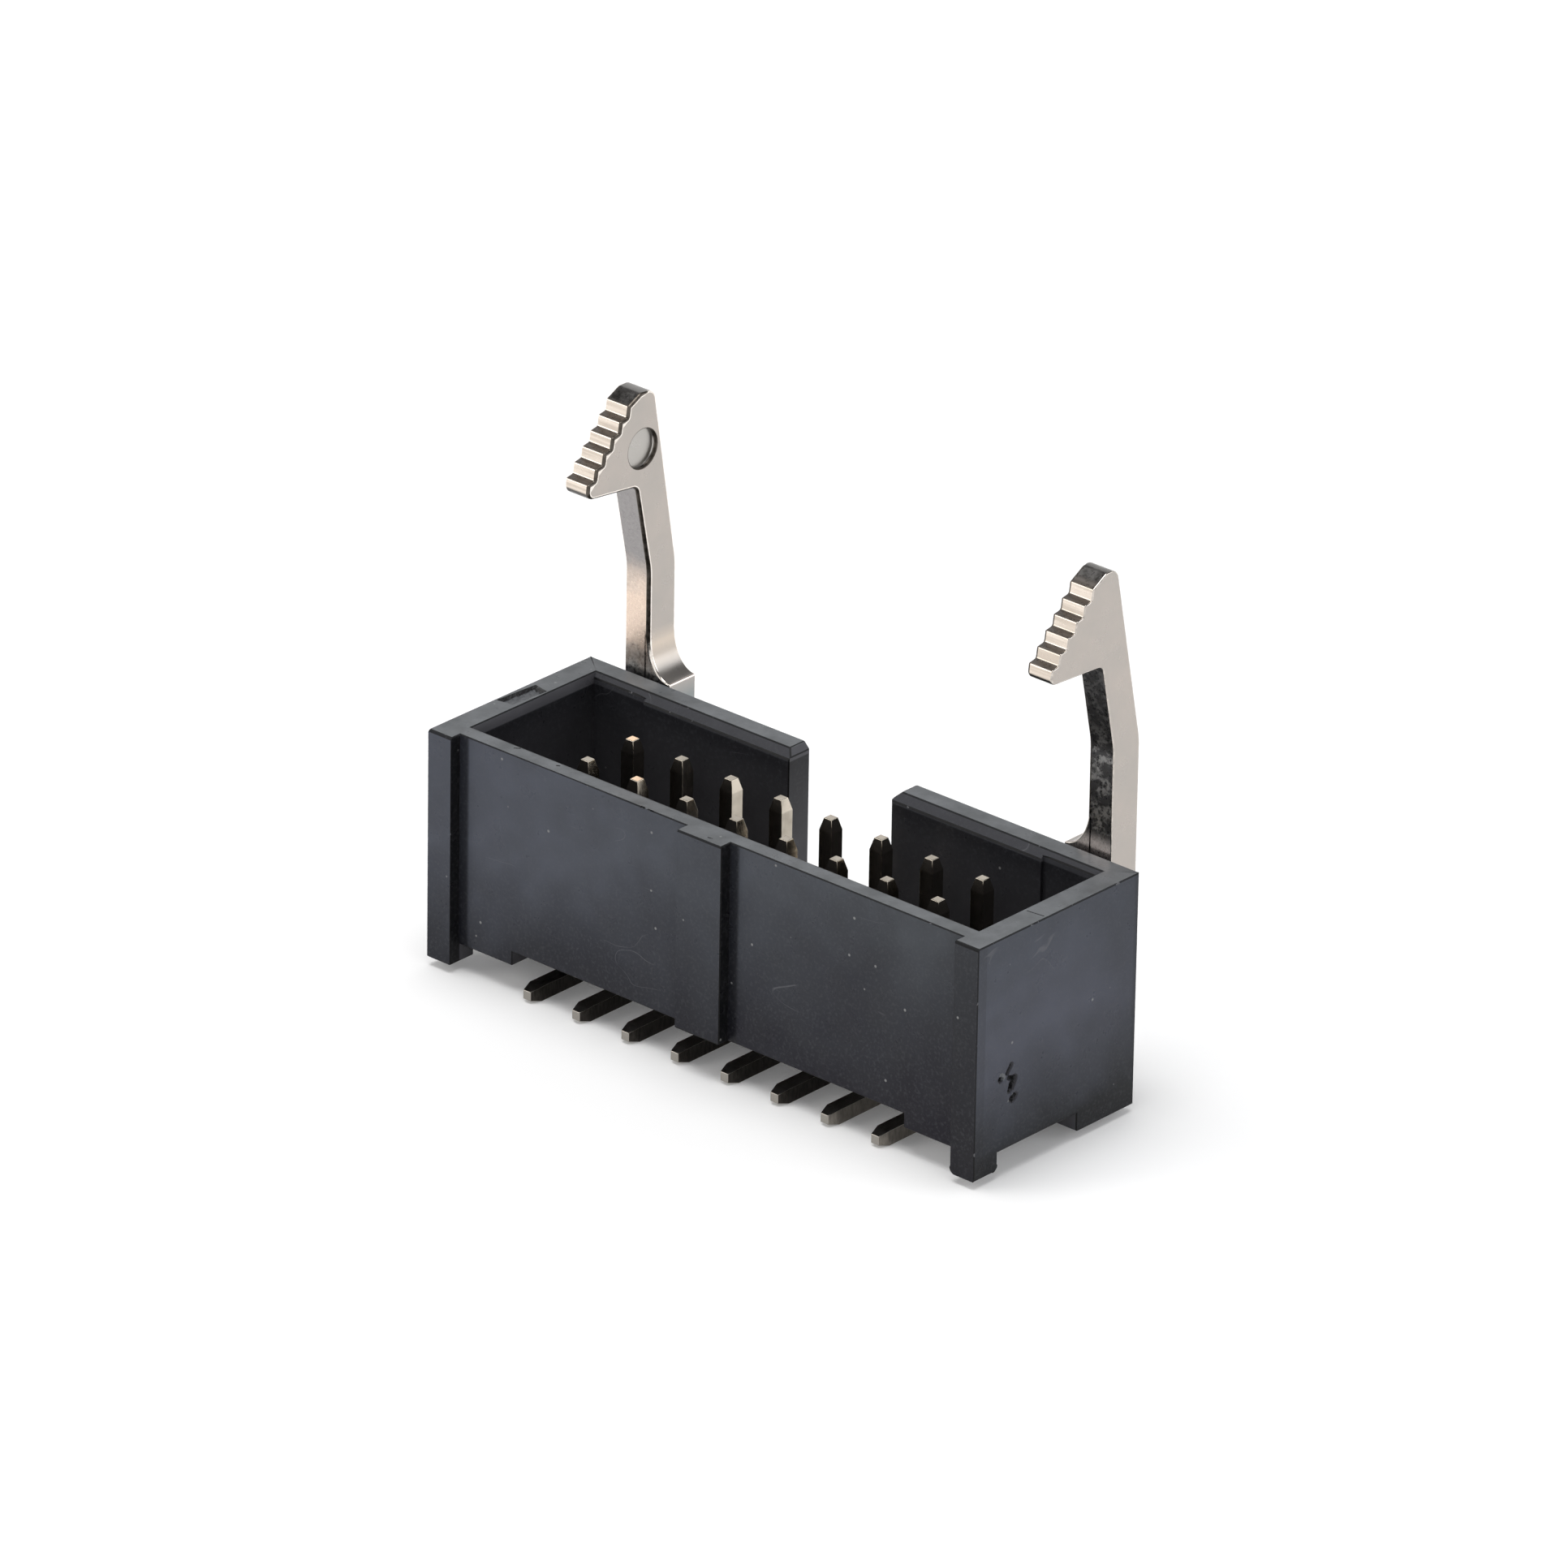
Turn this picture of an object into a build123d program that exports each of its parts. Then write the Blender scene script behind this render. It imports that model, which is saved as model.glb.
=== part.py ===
from build123d import *
import math
import os

# Two-row header with a four-walled housing, surface-mount contacts and two cast latch levers.
# Origin: middle of the contact pattern, on the board's surface. X runs along the rows,
# +Y points to the wall with the key slot and the levers, +Z points up out of the board.
# All sizes are millimetres.

# Contacts
pitch = 2.54
row_spacing = 2.54
positions = 8
contact_side = 0.64
contact_reach = 5.79  # tip above the cavity floor
contact_tip = 0.38
contact_taper = 0.50
tail_reach = 4.60  # tail tip from the header's middle plane
tail_bend = 0.30  # inside radius where the contact turns outwards

# Housing
housing_length = 27.90
rim_height = 10.00
floor_height = 3.40
underside_height = 1.68
cavity_depth = 6.40
front_wall = 1.06
back_wall = 1.20
end_wall = 1.15
lead_in = 0.33
end_lead_in = 0.08
corner_break = 0.05

# Ribs on the front wall
rib_width = 1.19
middle_rib_width = 2.25
rib_depth = 0.52

# End blocks and feet under the housing
end_block_gap = 0.78  # from the end contacts
end_block_height = 1.09
foot_height = 0.34
front_foot_depth = 1.37
rear_foot_length = 3.30
rear_foot_width = 1.15
foot_round = 0.28  # on the inner edges of the right front foot

# Key slot and reliefs in the back wall
key_width = 5.20
key_lead_in = 0.25
relief_length = 2.70
relief_depth = 0.13

# Latch levers
lever_inset = 1.60
blade_thickness = 1.22
arm_depth = 1.50
lever_gap = 0.20  # back wall to the lever's foot
foot_extra = 1.10  # how much wider than the blade the lever's foot is
foot_rise = 1.60  # height of the hollow curve from the foot's top up to the blade
foot_drop = 0.06  # foot's top below the rim
foot_length = 4.60
bend_height = 4.45  # bend in the arm above the rim
bend_radius = 3.00
arm_lean = 11.5  # degrees, above the bend
head_height = 12.02  # top of the head above the rim
head_flat = 0.62  # width of the head's top before rounding
head_round = 0.31  # on the front corner of the head's top
head_back_round = 0.46  # on its back corner
hook_drop = 3.53  # tip of the hook below the head's top
hook_reach = 2.02  # tip of the hook in front of the arm's front, drawn on up to the head's top
hook_rake = 6.7  # degrees, of the hook's underside
hook_lip = 0.62
hook_root_round = 0.32
serrations = 5
serration_run = 0.45
serration_rise = 0.514
serration_land = 0.07  # lean of each land, and rise of each tread
serration_round = 0.07
mark_diameter = 1.62
mark_depth = 0.18
mark_below_top = 2.31
mark_lead = 0.15  # mark's middle in front of the arm's middle line
edge_break = 0.06

# Lever pivots
pivot_height = 2.90
pin_radius = 0.30
pin_cover = 0.05  # wall of plastic between the pin and the back wall's face
hub_radius = 0.95
hub_round = 0.47  # on the shoulder and beside the hub
heel_round = 0.85  # under the back of the hub
nose_thickness = 0.92
nose_reach = 5.75  # nose tip in front of the pivot
nose_top = 0.42  # top of the nose above the pivot
nose_round = 0.35
shoulder_height = 2.10  # where the foot starts to narrow, above the pivot
lug_round = 0.66
inner_lug = 0.70
outer_lug = 0.58
swing = 40.0  # degrees from latched to open

# Clearances
running_gap = 0.04  # lever on its pin, each side
seat_gap = 0.01  # pin in its lug, each side
side_gap = 0.08  # lever to the housing, each side
nose_gap = 0.20  # under and in front of the nose
swing_gap = 0.15  # nose to the window's top when open

# Places that follow from the sizes above
end_x = housing_length / 2
front_y = -cavity_depth / 2 - front_wall
back_y = cavity_depth / 2 + back_wall
rib_y = front_y - rib_depth
cavity_x = end_x - end_wall
cavity_y = cavity_depth / 2
tail_y = tail_reach - contact_taper
end_block_x = (positions - 1) / 2 * pitch + contact_side / 2 + end_block_gap
blade_outer_x = end_x - lever_inset
blade_inner_x = blade_outer_x - blade_thickness
arm_front_y = back_y + lever_gap
arm_back_y = arm_front_y + arm_depth
pivot_y = back_y + pin_cover + pin_radius
nose_tip_y = pivot_y - nose_reach
nose_top_z = pivot_height + nose_top
nose_under_z = pivot_height - hub_radius
recess_z = nose_under_z - nose_gap
slot_inner_x = blade_inner_x - side_gap
slot_outer_x = blade_outer_x + side_gap


def block(x, y, z):
    """Box between pairs of limits."""
    size = (x[1] - x[0], y[1] - y[0], z[1] - z[0])
    middle = ((x[0] + x[1]) / 2, (y[0] + y[1]) / 2, (z[0] + z[1]) / 2)
    return Pos(*middle) * Box(*size)


def side_profile(points, radii, x_from, x_to):
    """Outline given as (y, z) corners with their radii, extruded along X."""
    outline = FilletPolyline(*points, radius=radii, close=True)
    face = Plane.YZ.offset(x_from) * make_face(outline)
    return extrude(face, x_to - x_from)


def mirrored(part):
    return mirror(part, about=Plane.YZ)


def both_ends(part):
    return part + mirrored(part)


def window_top():
    """Height that the nose's top needs at the inner face of the back wall when open."""
    turn = math.radians(swing)
    run = pivot_y - cavity_y + nose_top * math.sin(turn)
    rise = run * math.tan(turn) + nose_top * math.cos(turn)
    return pivot_height + rise + swing_gap


# Contact


def contact(x, side):
    """Square contact: pin up into the cavity, tail out under the long wall on that side."""
    half = contact_side / 2
    row_y = row_spacing / 2
    top = floor_height + contact_reach - contact_taper
    points = [
        (row_y - half, top),
        (row_y - half, 0),
        (tail_y, 0),
        (tail_y, contact_side),
        (row_y + half, contact_side),
        (row_y + half, top),
    ]
    outer_bend = tail_bend + contact_side
    radii = [0, outer_bend, 0, 0, tail_bend, 0]
    body = side_profile(points, radii, -half, half)
    slope = math.degrees(math.atan((contact_side - contact_tip) / 2 / contact_taper))
    square = Rectangle(contact_side, contact_side)
    body += extrude(Pos(0, row_y, top) * square, contact_taper, taper=slope)
    tail_end = Plane(origin=(0, tail_y, half), x_dir=(1, 0, 0), z_dir=(0, 1, 0))
    body += extrude(tail_end * square, contact_taper, taper=slope)
    if side < 0:
        body = mirror(body, about=Plane.XZ)
    return Pos(x, 0, 0) * body


def contact_columns():
    return [(i - (positions - 1) / 2) * pitch for i in range(positions)]


# Housing


def shell():
    """Four walls and the floor, with the deeper end blocks."""
    outer = block((-end_x, end_x), (front_y, back_y), (underside_height, rim_height))
    ends = block((end_block_x, end_x), (front_y, back_y), (end_block_height, underside_height))
    body = outer + both_ends(ends)
    back_corners = body.edges().filter_by(Axis.Z).group_by(Axis.Y)[-1]
    tall = [edge for edge in back_corners if abs(edge.center().X) > cavity_x]
    return chamfer(tall, corner_break)


def ribs():
    """Upright ribs on the front wall; the end ones run down into the front feet."""
    y = (rib_y, front_y)
    end = block((end_x - rib_width, end_x), y, (end_block_height, rim_height))
    half = middle_rib_width / 2
    middle = block((-half, half), y, (underside_height, rim_height))
    return both_ends(end) + middle


def feet():
    z = (foot_height, end_block_height)
    front_y_range = (rib_y, rib_y + front_foot_depth)
    front = block((end_x - rib_width, end_x), front_y_range, z)
    soles = front.edges().group_by(Axis.Z)[0]
    rounded = fillet([soles.sort_by(Axis.X)[0], soles.sort_by(Axis.Y)[-1]], foot_round)
    rear = block((end_x - rear_foot_width, end_x), (back_y - rear_foot_length, back_y), z)
    corner = rear.edges().filter_by(Axis.Z).group_by(Axis.Y)[-1].sort_by(Axis.X)[-1]
    rear = chamfer(corner, corner_break)
    return rounded + mirrored(front) + both_ends(rear)


def cavity():
    """Space for the plug, flared to the rim."""
    low, high = floor_height, rim_height - lead_in
    straight = block((-cavity_x, cavity_x), (-cavity_y, cavity_y), (low, high))
    throat = Pos(0, 0, high) * Rectangle(2 * cavity_x, 2 * cavity_y)
    mouth_size = (2 * (cavity_x + end_lead_in), 2 * (cavity_y + lead_in))
    mouth = Pos(0, 0, rim_height) * Rectangle(*mouth_size)
    flare = loft([throat, mouth])
    relief = block(
        (cavity_x - relief_length, cavity_x),
        (cavity_y, cavity_y + relief_depth),
        (floor_height, rim_height),
    )
    return straight + flare + both_ends(relief)


def key_slot():
    """Slot through the back wall that turns away a plug put in the wrong way round."""
    half = key_width / 2
    top = rim_height
    points = [
        (-half, floor_height),
        (half, floor_height),
        (half, top - key_lead_in),
        (half + key_lead_in, top),
        (-half - key_lead_in, top),
        (-half, top - key_lead_in),
    ]
    face = Plane.XZ.offset(-cavity_y) * make_face(Polyline(*points, close=True))
    return extrude(face, -back_wall)


def lever_slot():
    """Window through the back wall and recess in the floor for one lever's nose."""
    x = (slot_inner_x, slot_outer_x)
    window = block(x, (cavity_y, back_y), (recess_z, window_top()))
    recess = block(x, (nose_tip_y - nose_gap, cavity_y), (recess_z, floor_height))
    return window + recess


def lugs():
    """Pair of bearing lugs behind the back wall, without their bore."""

    def lug(x_from, x_to):
        round_end = Pos((x_from + x_to) / 2, pivot_y, pivot_height)
        drum = round_end * Rot(0, 90, 0) * Cylinder(lug_round, x_to - x_from)
        z = (pivot_height - lug_round, pivot_height + lug_round)
        return drum + block((x_from, x_to), (back_y, pivot_y), z)

    inner = lug(slot_inner_x - inner_lug, slot_inner_x)
    outer = lug(slot_outer_x, slot_outer_x + outer_lug)
    return inner + outer


def pivot_cylinder(radius):
    length = outer_lug + inner_lug + slot_outer_x - slot_inner_x
    middle = (slot_outer_x + outer_lug + slot_inner_x - inner_lug) / 2
    return Pos(middle, pivot_y, pivot_height) * Rot(0, 90, 0) * Cylinder(radius, length)


def contact_holes():
    z = (underside_height, floor_height)
    half = contact_side / 2
    holes = []
    for x in contact_columns():
        for y in (-row_spacing / 2, row_spacing / 2):
            holes.append(block((x - half, x + half), (y - half, y + half), z))
    return holes


def housing():
    body = shell() + ribs() + feet() + both_ends(lugs())
    body -= cavity()
    body -= key_slot()
    body -= both_ends(lever_slot())
    body -= both_ends(pivot_cylinder(pin_radius + seat_gap))
    for hole in contact_holes():
        body -= hole
    return body


# Levers


def leaning_y(upright_y, height):
    """Place on a leaning edge of the arm, above the bend."""
    above = height - (rim_height + bend_height)
    return upright_y - above * math.tan(math.radians(arm_lean))


def hook_tip():
    top = rim_height + head_height
    return leaning_y(arm_front_y, top) - hook_reach, top - hook_drop


def hook_root():
    """Where the hook's underside meets the arm's leaning front."""
    tip_y, tip_z = hook_tip()
    rake, lean = math.tan(math.radians(hook_rake)), math.tan(math.radians(arm_lean))
    run = (leaning_y(arm_front_y, tip_z) - tip_y) / (1 - rake * lean)
    return tip_y + run, tip_z - run * rake


def head_outline():
    """Corners of the hooked head from the lip to the round top, up the serrated slope."""
    lip_low = hook_tip()
    lip_top = (lip_low[0] + serration_land, lip_low[1] + hook_lip)
    points = [lip_low, lip_top]
    radii = [2 * serration_round, serration_round]
    y, z = lip_top
    for _ in range(serrations):
        points.append((y + serration_run - serration_land, z + serration_land))
        y, z = y + serration_run, z + serration_rise
        points.append((y, z))
        radii += [serration_round, serration_round]
    return points, radii


def blade():
    """Side profile of a lever, one plate from the head down to the nose."""
    points, radii = head_outline()
    top = rim_height + head_height
    bend = rim_height + bend_height
    back_of_head = leaning_y(arm_back_y, top)
    hub_back = pivot_y + hub_radius
    points += [
        (back_of_head - head_flat, top),
        (back_of_head, top),
        (arm_back_y, bend),
        (arm_back_y, pivot_height + shoulder_height),
        (hub_back, pivot_height + hub_radius),
        (hub_back, nose_under_z),
        (pivot_y - hub_radius, nose_under_z),
        (nose_tip_y, nose_top_z - nose_thickness),
        (nose_tip_y, nose_top_z),
        (arm_front_y, nose_top_z),
        (arm_front_y, bend),
        hook_root(),
    ]
    radii += [head_round, head_back_round, bend_radius, hub_round, hub_round, heel_round]
    radii += [hub_round, nose_round, nose_round, hub_round, bend_radius, hook_root_round]
    plate = side_profile(points, radii, blade_inner_x, blade_outer_x)
    rims = plate.faces().filter_by(Axis.X).edges()
    return chamfer(rims, edge_break)


def foot():
    """Wide foot on the blade's inner side, with a hollow curve up to the blade."""
    x = (blade_inner_x - foot_extra, blade_inner_x)
    top = rim_height - foot_drop
    solid = block(x, (arm_front_y, arm_back_y), (top - foot_length, top + foot_rise))
    hollow = Pos(x[0], top + foot_rise) * Ellipse(foot_extra, foot_rise)
    return solid - extrude(Plane.XZ.offset(-arm_back_y) * hollow, arm_depth)


def lever():
    """Right lever: blade and foot, with the pin's bore and the shallow round mark."""
    body = blade() + foot()
    body -= pivot_cylinder(pin_radius + running_gap)
    mark_z = rim_height + head_height - mark_below_top
    mark_y = leaning_y((arm_front_y + arm_back_y) / 2, mark_z) - mark_lead
    mark = Pos(blade_inner_x, mark_y, mark_z) * Rot(0, 90, 0)
    body -= mark * Cylinder(mark_diameter / 2, 2 * mark_depth)
    return body


# Files


os.makedirs("parts", exist_ok=True)
export_step(housing(), "parts/housing.step")
for number, column in enumerate(contact_columns(), start=1):
    export_step(contact(column, -1), f"parts/contact_front_{number}.step")
    export_step(contact(column, 1), f"parts/contact_back_{number}.step")
right_lever = lever()
right_pin = pivot_cylinder(pin_radius)
export_step(right_lever, "parts/lever_right.step")
export_step(mirrored(right_lever), "parts/lever_left.step")
export_step(right_pin, "parts/pivot_pin_right.step")
export_step(mirrored(right_pin), "parts/pivot_pin_left.step")
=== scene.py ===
import math

import bmesh
import bpy
from mathutils import Matrix, Vector, noise
from mathutils.geometry import intersect_point_line, tessellate_polygon


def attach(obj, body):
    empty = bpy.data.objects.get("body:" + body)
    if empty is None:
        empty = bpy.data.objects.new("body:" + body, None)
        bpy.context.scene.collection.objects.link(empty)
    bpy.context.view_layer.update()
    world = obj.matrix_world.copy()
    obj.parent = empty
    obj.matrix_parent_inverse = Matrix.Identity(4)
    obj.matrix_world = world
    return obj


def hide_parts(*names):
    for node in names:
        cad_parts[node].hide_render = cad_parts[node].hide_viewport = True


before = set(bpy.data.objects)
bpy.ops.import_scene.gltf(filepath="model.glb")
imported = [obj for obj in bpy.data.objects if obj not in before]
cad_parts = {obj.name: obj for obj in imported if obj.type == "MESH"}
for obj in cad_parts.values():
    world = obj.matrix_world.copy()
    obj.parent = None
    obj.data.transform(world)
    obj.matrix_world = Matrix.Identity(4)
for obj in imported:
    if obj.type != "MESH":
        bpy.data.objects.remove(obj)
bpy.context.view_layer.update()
MM = 0.001
X, Y, Z = 0, 1, 2

# Places on the part, in millimetres. X runs along the header, Y to its back and Z up from the board.
# From TOP on they are those of the right lever.

RIM = 10.00                             # top of the walls
END_FACE = 13.95                        # outside of each end wall, either way from the middle
FRONT_FACE, BACK_FACE = -4.25, 4.39     # outsides of the long walls
RIB_FACE = -4.79                        # front of the ribs
RIB_CORNERS = -12.76, 1.125             # +X sides of the left and middle ribs
RELIEF_STEP = 10.10                     # step in the back wall's inside beside each lever
TAIL_TOP = 0.66                         # the contacts' tails lie below this height
TOP, BEND, LEAN = 22.02, 14.45, 11.5    # lever's highest point, height of its bend, and its lean in degrees
LIP_Y, LIP_Z = 1.04, 18.49              # tip of the hook
ARM_FRONT, ARM_BACK = 4.60, 6.10
INNER, OUTER = 11.13, 12.35             # the blade's two flats
PIVOT_Y, PIVOT_Z, BORE, HUB = 4.75, 2.90, 0.34, 0.95
NOSE_TIP, NOSE_LOW, NOSE_HIGH = -1.00, 2.40, 3.32
FOOT_TOP, FOOT_HEIGHT, FOOT_OUT, FOOT_RISE = 9.94, 4.60, 1.10, 1.60

# Material slots. Slot 1 holds the rounded edges on every piece that is copied from the CAD.

FACES, EDGES, TORN, TORN_RIM = range(4)         # housing
# The tails' cut sides carry painted shade.
SHADED_SIDES = 2                                     # contacts: the tails' cut sides
# On the levers BROAD_EDGE takes painted shade and GLINT a painted highlight.
FLATS, NARROW, BROAD_EDGE, GLINT = range(4)     # levers


def new_object(name, data):
    obj = bpy.data.objects.new(name, data)
    bpy.context.scene.collection.objects.link(obj)
    return obj


# Camera, at the photograph's own angle and distance

def make_camera():
    data = bpy.data.cameras.new("camera")
    data.sensor_width = 36.0
    data.lens = 336.13
    data.clip_start, data.clip_end = 0.02, 20.0
    camera = new_object("camera", data)
    place = Vector((330.976, -374.863, 247.454)) * MM
    right = Vector((0.74480377, 0.66711448, 0.01502011))
    up = Vector((-0.29573384, 0.30982845, 0.90363036))
    back = Vector((0.59817124, -0.67746926, 0.42804973))
    turn = Matrix((right, up, back)).transposed().to_4x4()
    camera.matrix_world = Matrix.Translation(place) @ turn
    bpy.context.scene.camera = camera


# Shader helpers

class Shader:
    """A material with one Principled shader and short calls for its nodes."""

    def __init__(self, name, **values):
        self.material = bpy.data.materials.new(name)
        self.material.use_nodes = True
        self.tree = self.material.node_tree
        self.tree.nodes.clear()
        self.principled = self.tree.nodes.new("ShaderNodeBsdfPrincipled")
        output = self.tree.nodes.new("ShaderNodeOutputMaterial")
        self.link(self.principled.outputs[0], output.inputs["Surface"])
        for socket, value in values.items():
            self.principled.inputs[socket.replace("_", " ")].default_value = value
        self.coords = self.tree.nodes.new("ShaderNodeTexCoord")

    def link(self, a, b):
        self.tree.links.new(a, b)

    def put(self, value, socket):
        if hasattr(value, "is_linked"):
            self.link(value, socket)
        else:
            socket.default_value = value

    def noise(self, size_mm, detail=2.0, roughness=0.5, stretch=(1, 1, 1), distortion=0.0):
        """Noise whose grains are about size_mm across, in the part's own frame."""
        place = self.tree.nodes.new("ShaderNodeMapping")
        place.inputs["Scale"].default_value = [s / (size_mm * MM) for s in stretch]
        self.link(self.coords.outputs["Object"], place.inputs["Vector"])
        node = self.tree.nodes.new("ShaderNodeTexNoise")
        node.inputs["Scale"].default_value = 1.0
        node.inputs["Detail"].default_value = detail
        node.inputs["Roughness"].default_value = roughness
        node.inputs["Distortion"].default_value = distortion
        self.link(place.outputs[0], node.inputs["Vector"])
        return node.outputs["Fac"]

    def specks(self, apart_mm):
        """Distance to the nearest of many points that are scattered about apart_mm from each other."""
        node = self.tree.nodes.new("ShaderNodeTexVoronoi")
        node.inputs["Scale"].default_value = 1 / (apart_mm * MM)
        self.link(self.coords.outputs["Object"], node.inputs["Vector"])
        return node.outputs["Distance"]

    def ramp(self, value, low, high, out_low=0.0, out_high=1.0):
        """The value taken from low..high to out_low..out_high and held beyond them."""
        node = self.tree.nodes.new("ShaderNodeMapRange")
        node.clamp = True
        self.link(value, node.inputs["Value"])
        node.inputs["From Min"].default_value, node.inputs["From Max"].default_value = low, high
        node.inputs["To Min"].default_value, node.inputs["To Max"].default_value = out_low, out_high
        return node.outputs["Result"]

    def window(self, value, low, high, soft):
        """1 between low and high, falling to 0 over the soft width just inside both."""
        return self.times(self.ramp(value, low, low + soft), self.ramp(value, high, high - soft))

    def math(self, kind, a, b=0.0):
        node = self.tree.nodes.new("ShaderNodeMath")
        node.operation = kind
        self.put(a, node.inputs[0])
        self.put(b, node.inputs[1])
        return node.outputs[0]

    def times(self, first, *others):
        for other in others:
            first = self.math("MULTIPLY", first, other)
        return first

    def either(self, a, b):
        return self.math("MAXIMUM", a, b)

    def swing(self, value, width):
        """A value from 0 to 1 turned into one from -width/2 to width/2."""
        return self.times(self.math("SUBTRACT", value, 0.5), width)

    def mix(self, share, a, b):
        node = self.tree.nodes.new("ShaderNodeMix")
        node.data_type = "RGBA"
        self.put(share, node.inputs[0])
        for value, socket in ((a, node.inputs[6]), (b, node.inputs[7])):
            self.put(value if hasattr(value, "is_linked") else (*value, 1.0), socket)
        return node.outputs[2]

    def towards(self, axis):
        """How far the surface faces along one axis of the piece, from -1 to 1."""
        split = self.tree.nodes.new("ShaderNodeSeparateXYZ")
        self.link(self.coords.outputs["Normal"], split.inputs[0])
        return split.outputs[axis]

    def facing(self, axis):
        """How far the surface faces along one axis of the piece, either way, from 0 to 1."""
        return self.math("ABSOLUTE", self.towards(axis))

    def place(self, axis):
        """The point's coordinate along an axis of the part, in millimetres."""
        split = self.tree.nodes.new("ShaderNodeSeparateXYZ")
        self.link(self.coords.outputs["Object"], split.inputs[0])
        return self.math("DIVIDE", split.outputs[axis], MM)

    def side(self):
        """Distance from the part's middle along its length, in millimetres."""
        return self.math("ABSOLUTE", self.place(X))

    def bump(self, height, depth_mm, strength, under=None):
        node = self.tree.nodes.new("ShaderNodeBump")
        node.inputs["Strength"].default_value = strength
        node.inputs["Distance"].default_value = depth_mm * MM
        self.link(height, node.inputs["Height"])
        if under is not None:
            self.link(under, node.inputs["Normal"])
        return node.outputs["Normal"]

    def colour(self, value):
        self.link(value, self.principled.inputs["Base Color"])

    def roughness(self, value):
        self.link(value, self.principled.inputs["Roughness"])

    def normal(self, value):
        self.link(value, self.principled.inputs["Normal"])


# Plastic

def long_walls(s, drift):
    """Tones of the long outer walls, with painted shade: bluish high up and to the left, near black low down
    and to the right, and dark on the fronts of the ribs.
    """
    right = s.ramp(s.place(X), -11.0, 9.0)
    start = s.math("ADD", s.times(right, 1.4), 0.8)
    span = s.math("ADD", s.times(right, 3.4), 4.4)
    level = s.math("DIVIDE", s.math("SUBTRACT", s.math("ADD", s.place(Z), drift), start), span)
    level = s.math("POWER", s.ramp(level, 0.0, 1.0), 1.25)
    # Painted shade: the walls darken low down and to the right.
    low = s.mix(right, (0.012, 0.013, 0.019), (0.005, 0.004, 0.009))
    high = s.mix(right, (0.061, 0.067, 0.086), (0.047, 0.052, 0.061))
    rib_front = s.ramp(s.place(Y), RIB_FACE + 0.19, RIB_FACE + 0.09)
    rib_shade = s.times(rib_front, s.ramp(s.place(X), -4.0, 13.0, 0.08, 0.50))
    return s.mix(rib_shade, s.mix(level, low, high), (0.006, 0.006, 0.008))


def end_walls(s, drift):
    """Tones of the end walls: bluish in the middle, duller at the top, with painted shade that makes them
    dark along the bottom and darker towards the back, and a darker border along the back and bottom edges.
    """
    height = s.math("ADD", s.place(Z), s.times(drift, 0.6))
    walls = s.mix(s.ramp(height, 5.5, 9.5), (0.063, 0.068, 0.090), (0.049, 0.055, 0.071))
    # Painted shade: near black low down, darker towards the back.
    walls = s.mix(s.ramp(height, 1.2, 5.2), (0.004, 0.005, 0.007), walls)
    walls = s.mix(s.ramp(s.place(Y), 0.5, 4.4, 0.0, 0.30), walls, (0.010, 0.011, 0.014))
    border = s.either(s.ramp(s.place(Y), BACK_FACE - 0.29, BACK_FACE - 0.05), s.ramp(s.place(Z), 1.35, 1.10))
    return s.mix(s.times(border, 0.5), walls, (0.004, 0.004, 0.005))


def inner_walls(s):
    """Tones of the inside: dark, with a band of painted light below the rim, palest on the end walls, and
    paler deeper down, painted light that offsets the shade there.
    """
    walls = s.mix(s.ramp(s.place(Z), 9.4, 6.0), (0.016, 0.016, 0.019), (0.072, 0.071, 0.078))
    # Painted light: the paler band just below the rim.
    band = s.mix(s.facing(X), (0.050, 0.051, 0.058), (0.098, 0.098, 0.108))
    return s.mix(s.ramp(s.place(Z), RIM - 0.46, RIM - 0.41), walls, band)


def corner_shade(s, corner):
    """Share of the painted shade in the inner corner on the +X side of a rib."""
    x, y, wall = s.place(X), s.place(Y), FRONT_FACE
    beside = s.times(s.ramp(x, corner - 0.05, corner), s.ramp(x, corner + 0.38, corner + 0.50, 1.0, 0.0))
    at_wall = s.times(s.ramp(y, wall - 0.11, wall - 0.05), s.ramp(y, wall + 0.05, wall + 0.01))
    return s.times(beside, at_wall, s.facing(Y))


def rib_side_shade(s):
    """Share of the painted shade on the sides of the ribs, faint where a rib ends in the end wall."""
    side = s.times(s.window(s.place(Y), RIB_FACE + 0.01, FRONT_FACE - 0.01, 0.01), s.facing(X))
    return s.times(side, s.ramp(s.side(), END_FACE - 0.15, END_FACE - 0.10, 1.0, 0.22))


def hairlines(s):
    """Share of the faint pale scratches, which run mostly along the walls."""
    line = s.noise(1.6, 1.0, 0.5, stretch=(0.35, 0.35, 1.0), distortion=0.8)
    line = s.math("ABSOLUTE", s.math("SUBTRACT", line, 0.5))
    return s.times(s.ramp(line, 0.0015, 0.0045, 1.0, 0.0), s.ramp(s.noise(2.4, 1.0), 0.62, 0.68, 0.0, 0.40))


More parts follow.
